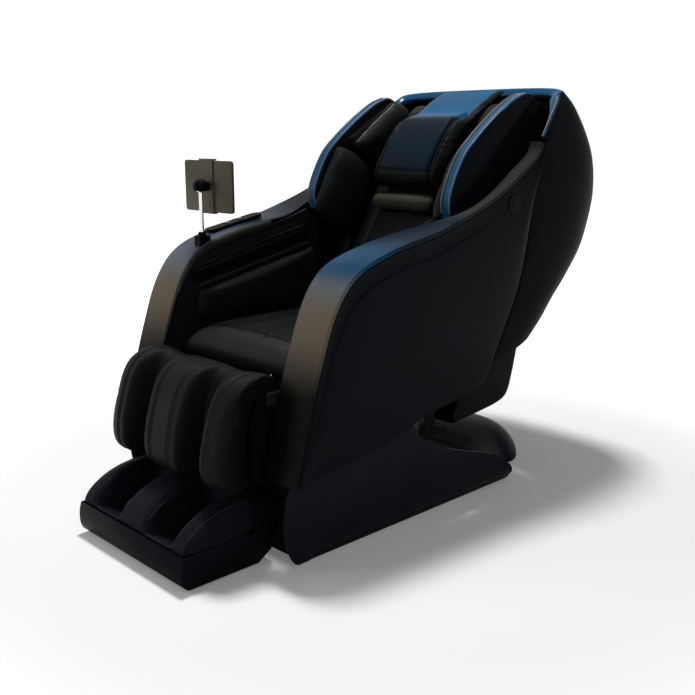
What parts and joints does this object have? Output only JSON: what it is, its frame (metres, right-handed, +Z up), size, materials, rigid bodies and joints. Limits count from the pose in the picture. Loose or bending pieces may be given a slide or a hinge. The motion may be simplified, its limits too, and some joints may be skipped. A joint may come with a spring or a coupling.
{
  "type": "massage chair",
  "caption": "Reclining zero-gravity massage chair with a padded leg rest, foot unit, shoulder wings, head pillow and a tablet holder on one arm.",
  "frame": {"origin": "on the floor under the middle of the chair's overall box", "axes": "+Z up; -Y is the way the sitter faces; +X is the side of the plain arm, and the arm with the tablet holder is on -X"},
  "size_m": [0.7768, 1.6325, 1.1858],
  "materials": {
    "frame_steel": "satin black powder coat on the frames",
    "bright_steel": "polished shafts, rods and pole",
    "base_plastic": "fine-grained dark base covers",
    "panel_plastic": "satin navy-black side panels and hood",
    "band_plastic": "satin taupe arm bands that turn blue towards the back",
    "trim_plastic": "glossy blue rim of the hood",
    "leather": "black synthetic leather with stitched seams and piping",
    "pillow_leather": "glossy blue-grey synthetic leather",
    "rubber": "black feet, keys and wheels",
    "dark_plastic": "black inner covers, pod and bracket",
    "tablet_shell": "taupe back of the tablet",
    "switch_red": "red rocker"
  },
  "bodies": {
    "base": {"base_frame": "frame_steel", "base_cover_right": "base_plastic", "base_cover_left": "base_plastic", "base_rear_cover": "base_plastic", "base_feet": "rubber", "base_front_cover": "dark_plastic", "power_box": "dark_plastic", "air_pump": "dark_plastic", "tilt_shaft": "bright_steel"},
    "wheel_right": {"wheel_right": "rubber"},
    "wheel_left": {"wheel_left": "rubber"},
    "power_switch": {"power_switch": "switch_red"},
    "tilt_motor": {"tilt_motor": "frame_steel"},
    "tilt_rod": {"tilt_rod": "bright_steel"},
    "seat_unit": {"seat_frame": "frame_steel", "seat_pan": "dark_plastic", "seat_cushion": "leather", "side_panel_right": "panel_plastic", "side_panel_left": "panel_plastic", "arm_band_right": "band_plastic", "arm_band_left": "band_plastic", "arm_liner_right": "leather", "arm_liner_left": "leather", "arm_pad_right": "leather", "arm_pad_left": "leather", "hip_shaft": "bright_steel", "control_pod": "dark_plastic", "holder_bracket": "dark_plastic"},
    "key_front": {"key_front": "rubber"},
    "key_rear": {"key_rear": "rubber"},
    "recline_motor": {"recline_motor": "frame_steel"},
    "recline_rod": {"recline_rod": "bright_steel"},
    "leg_motor": {"leg_motor": "frame_steel"},
    "leg_rod": {"leg_rod": "bright_steel"},
    "holder_pole": {"holder_pole": "bright_steel"},
    "holder_head": {"holder_ball": "dark_plastic", "tablet_cradle": "dark_plastic", "tablet": "tablet_shell"},
    "backrest": {"back_frame": "frame_steel", "back_shell": "panel_plastic", "lower_back_shell": "dark_plastic", "back_trim": "trim_plastic", "back_cushion": "leather", "wing_right": "panel_plastic", "wing_left": "panel_plastic", "upper_pad_right": "leather", "upper_pad_left": "leather", "lower_pad_right": "leather", "lower_pad_left": "leather"},
    "pillow": {"head_pillow": "pillow_leather", "neck_roll": "leather"},
    "carriage": {"massage_carriage": "frame_steel"},
    "rollers_upper": {"rollers_upper": "rubber"},
    "rollers_lower": {"rollers_lower": "rubber"},
    "legrest": {"leg_frame": "frame_steel", "leg_shell": "dark_plastic", "calf_pad": "leather"},
    "foot_unit": {"foot_shell": "panel_plastic", "foot_pad": "leather"},
    "foot_roller": {"foot_roller": "rubber"}
  },
  "joints": [
    {"name": "wheel_right_spin", "type": "hinge", "parent": "base", "child": "wheel_right", "pos_m": [0.208, 0.179, 0.026], "axis": [1, 0, 0], "continuous": true},
    {"name": "wheel_left_spin", "type": "hinge", "parent": "base", "child": "wheel_left", "pos_m": [-0.208, 0.179, 0.026], "axis": [1, 0, 0], "continuous": true},
    {"name": "power_switch_rock", "type": "hinge", "parent": "base", "child": "power_switch", "pos_m": [-0.113, 0.581, 0.035], "axis": [1, 0, 0], "range_deg": [-8, 8]},
    {"name": "seat_tilt", "type": "hinge", "parent": "base", "child": "seat_unit", "pos_m": [0, -0.126, 0.25], "axis": [-1, 0, 0], "range_deg": [0, 12]},
    {"name": "back_recline", "type": "hinge", "parent": "seat_unit", "child": "backrest", "pos_m": [0, 0.114, 0.385], "axis": [-1, 0, 0], "range_deg": [0, 30]},
    {"name": "leg_lift", "type": "hinge", "parent": "seat_unit", "child": "legrest", "pos_m": [0, -0.546, 0.425], "axis": [-1, 0, 0], "range_deg": [0, 80]},
    {"name": "tilt_motor_swing", "type": "hinge", "parent": "base", "child": "tilt_motor", "pos_m": [0.09, -0.416, 0.066], "axis": [-1, 0, 0], "range_deg": [-0.5, 6.06]},
    {"name": "tilt_rod_stroke", "type": "slide", "parent": "tilt_motor", "child": "tilt_rod", "axis": [0, -0.101, 0.9949], "range_m": [-0.001, 0.0668]},
    {"name": "recline_motor_swing", "type": "hinge", "parent": "seat_unit", "child": "recline_motor", "pos_m": [0, -0.204, 0.318], "axis": [1, 0, 0], "range_deg": [-0.5, 5.84]},
    {"name": "recline_rod_stroke", "type": "slide", "parent": "recline_motor", "child": "recline_rod", "axis": [0, -0.9855, 0.1699], "range_m": [-0.001, 0.0622]},
    {"name": "leg_motor_swing", "type": "hinge", "parent": "seat_unit", "child": "leg_motor", "pos_m": [-0.09, -0.321, 0.275], "axis": [-1, 0, 0], "range_deg": [-0.5, 13.56]},
    {"name": "leg_rod_stroke", "type": "slide", "parent": "leg_motor", "child": "leg_rod", "axis": [0, -0.979, 0.204], "range_m": [-0.001, 0.1167]},
    {"name": "foot_extend", "type": "slide", "parent": "legrest", "child": "foot_unit", "axis": [0, 0, -1], "range_m": [-0.0005, 0.121]},
    {"name": "foot_roller_spin", "type": "hinge", "parent": "foot_unit", "child": "foot_roller", "pos_m": [0, -0.676, 0.021], "axis": [1, 0, 0], "continuous": true},
    {"name": "key_front_press", "type": "slide", "parent": "seat_unit", "child": "key_front", "axis": [0, 0.1959, -0.9806], "range_m": [0, 0.0014], "stiffness_N_per_m": 250, "springref_m": -0.0006},
    {"name": "key_rear_press", "type": "slide", "parent": "seat_unit", "child": "key_rear", "axis": [0, 0.1959, -0.9806], "range_m": [0, 0.0014], "stiffness_N_per_m": 250, "springref_m": -0.0006},
    {"name": "pole_swivel", "type": "hinge", "parent": "seat_unit", "child": "holder_pole", "pos_m": [-0.276, -0.362, 0.76], "axis": [0, 0, 1], "range_deg": [-60, 90]},
    {"name": "head_tilt", "type": "hinge", "parent": "holder_pole", "child": "holder_head", "pos_m": [-0.276, -0.362, 0.902], "axis": [-1, 0, 0], "range_deg": [-20, 9]},
    {"name": "pillow_lift", "type": "hinge", "parent": "backrest", "child": "pillow", "pos_m": [0, 0.51887, 1.17645], "axis": [-1, 0, 0], "range_deg": [0, 75]},
    {"name": "carriage_travel", "type": "slide", "parent": "backrest", "child": "carriage", "axis": [0, 0.497, 0.8678], "range_m": [0, 0.4]},
    {"name": "rollers_upper_spin", "type": "hinge", "parent": "carriage", "child": "rollers_upper", "pos_m": [0, 0.20687, 0.60954], "axis": [1, 0, 0], "continuous": true},
    {"name": "rollers_lower_spin", "type": "hinge", "parent": "carriage", "child": "rollers_lower", "pos_m": [0, 0.14127, 0.49499], "axis": [1, 0, 0], "continuous": true}
  ],
  "couplings": [
    {"joint": "tilt_motor_swing", "follows": "seat_tilt", "ratio": 0.42175},
    {"joint": "tilt_rod_stroke", "follows": "seat_tilt", "m_per_rad": 0.30002},
    {"joint": "recline_motor_swing", "follows": "back_recline", "ratio": 0.16148},
    {"joint": "recline_rod_stroke", "follows": "back_recline", "m_per_rad": 0.11106},
    {"joint": "leg_motor_swing", "follows": "leg_lift", "ratio": 0.15696},
    {"joint": "leg_rod_stroke", "follows": "leg_lift", "m_per_rad": 0.080717},
    {"joint": "foot_extend", "follows": "leg_lift", "m_per_rad": 0.085944}
  ]
}
